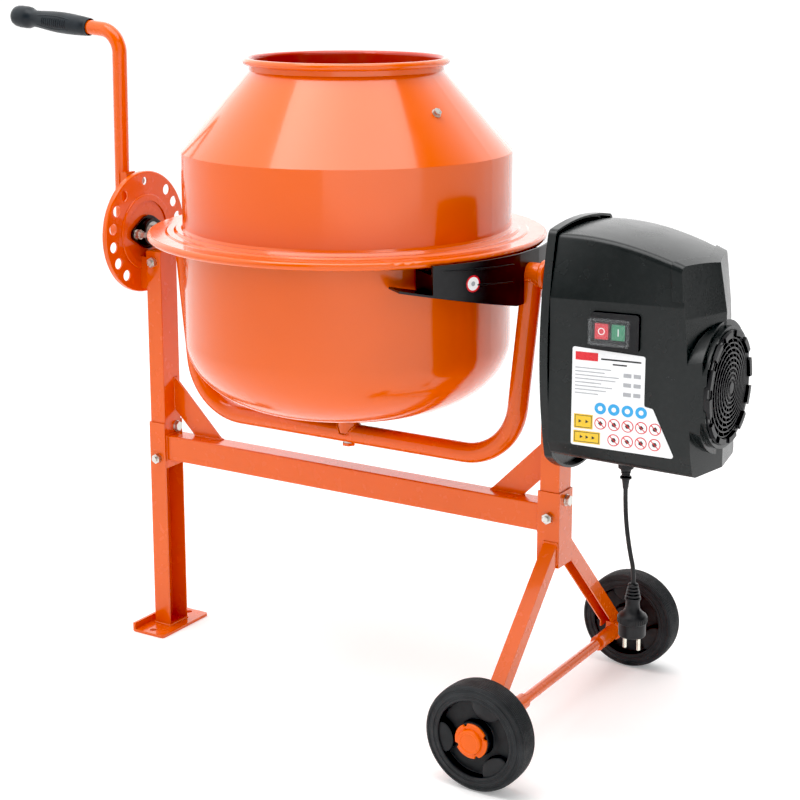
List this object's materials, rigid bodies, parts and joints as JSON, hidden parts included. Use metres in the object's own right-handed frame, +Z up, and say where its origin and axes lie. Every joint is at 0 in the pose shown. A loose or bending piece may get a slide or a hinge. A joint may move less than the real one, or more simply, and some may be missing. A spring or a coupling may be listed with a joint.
{
  "type": "concrete mixer",
  "caption": "Small wheeled electric concrete mixer: open drum spinning in a tilting yoke with a crank, gear drive and motor box on one side.",
  "frame": {"origin": "on the floor under the middle of the machine's overall box, measured without the cord and plug", "axes": "+Z up; +X from the crank side along the tilt axis to the motor side; -Y is the side with the switch and the label"},
  "size_m": [1.168, 0.5488, 0.9373],
  "materials": {
    "orange_paint": "glossy enamel",
    "black_paint": "semi-gloss enamel",
    "cast_gear": "as cast, greased",
    "bare_steel": "turned",
    "zinc": "zinc plated",
    "motor_alloy": "cast",
    "copper_core": "laminated",
    "housing_plastic": "satin grain",
    "guard_plastic": "satin",
    "nylon": "plain",
    "wheel_rubber": "moulded solid",
    "grip_rubber": "ribbed",
    "belt_rubber": "ribbed belt",
    "cord_rubber": "smooth sheath",
    "red_plastic": "moulded",
    "green_plastic": "moulded",
    "clear_cover": "clear",
    "label_film": "printed film",
    "plated_pin": "nickel plated"
  },
  "bodies": {
    "frame": {"left_post": "orange_paint", "stand_leg": "orange_paint", "foot_plate": "orange_paint", "crossbar": "orange_paint", "corner_braces": "orange_paint", "right_post": "orange_paint", "wheel_socket": "orange_paint", "axle_leg_front": "orange_paint", "axle_leg_rear": "orange_paint", "axle_rod": "orange_paint", "frame_bolts": "zinc", "lock_disc": "orange_paint", "bearing_flanges": "black_paint", "bearing_inserts": "bare_steel", "bearing_bolts": "zinc", "drive_belt": "belt_rubber", "motor_body": "copper_core", "motor_bracket": "motor_alloy", "back_plate": "housing_plastic", "housing_cover": "housing_plastic", "vent_grille": "housing_plastic", "housing_screws": "zinc", "switch_bezel": "housing_plastic", "switch_body": "housing_plastic", "switch_cover": "clear_cover", "label_plate": "label_film", "cable_gland": "cord_rubber", "power_cord": "cord_rubber", "plug_body": "cord_rubber", "plug_pins": "plated_pin"},
    "bail": {"bail_tube": "orange_paint", "trunnion_pin": "bare_steel", "trunnion_sleeve": "orange_paint", "pinion_bushes": "nylon", "crank_tube": "orange_paint", "crank_grip": "grip_rubber", "spindle": "bare_steel", "spindle_bolt": "orange_paint", "gear_guard": "guard_plastic"},
    "lock_pin": {"lock_pin": "zinc"},
    "drum": {"drum_hub": "cast_gear", "hub_bearings": "bare_steel", "lower_drum": "orange_paint", "upper_drum": "orange_paint", "ring_gear": "cast_gear", "drum_bolts": "zinc", "mixing_blades": "orange_paint", "blade_bolts": "zinc"},
    "pinion": {"pinion_shaft": "bare_steel", "pinion_gear": "cast_gear", "large_pulley": "motor_alloy"},
    "rotor": {"motor_shaft": "bare_steel", "small_pulley": "motor_alloy", "cooling_fan": "housing_plastic"},
    "wheel_front": {"wheel_front": "wheel_rubber", "hub_cap_front": "orange_paint"},
    "wheel_rear": {"wheel_rear": "wheel_rubber", "hub_cap_rear": "orange_paint"},
    "start_button": {"start_button": "green_plastic"},
    "stop_button": {"stop_button": "red_plastic"}
  },
  "joints": [
    {"name": "bail_tilt", "type": "hinge", "parent": "frame", "child": "bail", "pos_m": [0.018, 0, 0.611], "axis": [1, 0, 0], "range_deg": [-138.5, 141.5]},
    {"name": "lock_pin_slide", "type": "slide", "parent": "bail", "child": "lock_pin", "axis": [1, 0, 0], "range_m": [0, 0.01]},
    {"name": "drum_spin", "type": "hinge", "parent": "bail", "child": "drum", "pos_m": [0.018, 0, 0.611], "axis": [0, 0, 1], "continuous": true},
    {"name": "pinion_spin", "type": "hinge", "parent": "bail", "child": "pinion", "pos_m": [0.3, 0, 0.611], "axis": [1, 0, 0], "continuous": true},
    {"name": "motor_spin", "type": "hinge", "parent": "frame", "child": "rotor", "pos_m": [0.4, 0, 0.495], "axis": [1, 0, 0], "continuous": true},
    {"name": "wheel_front_spin", "type": "hinge", "parent": "frame", "child": "wheel_front", "pos_m": [0.3587, -0.2275, 0.07], "axis": [0, 1, 0], "continuous": true},
    {"name": "wheel_rear_spin", "type": "hinge", "parent": "frame", "child": "wheel_rear", "pos_m": [0.3587, 0.2275, 0.07], "axis": [0, 1, 0], "continuous": true},
    {"name": "start_press", "type": "slide", "parent": "frame", "child": "start_button", "axis": [-0.1297, 0.9916, 0], "range_m": [0, 0.003], "stiffness_N_per_m": 600, "springref_m": -0.002},
    {"name": "stop_press", "type": "slide", "parent": "frame", "child": "stop_button", "axis": [-0.1297, 0.9916, 0], "range_m": [0, 0.003], "stiffness_N_per_m": 600, "springref_m": -0.002}
  ],
  "couplings": [
    {"joint": "pinion_spin", "follows": "drum_spin", "ratio": -10},
    {"joint": "motor_spin", "follows": "drum_spin", "ratio": -50}
  ]
}
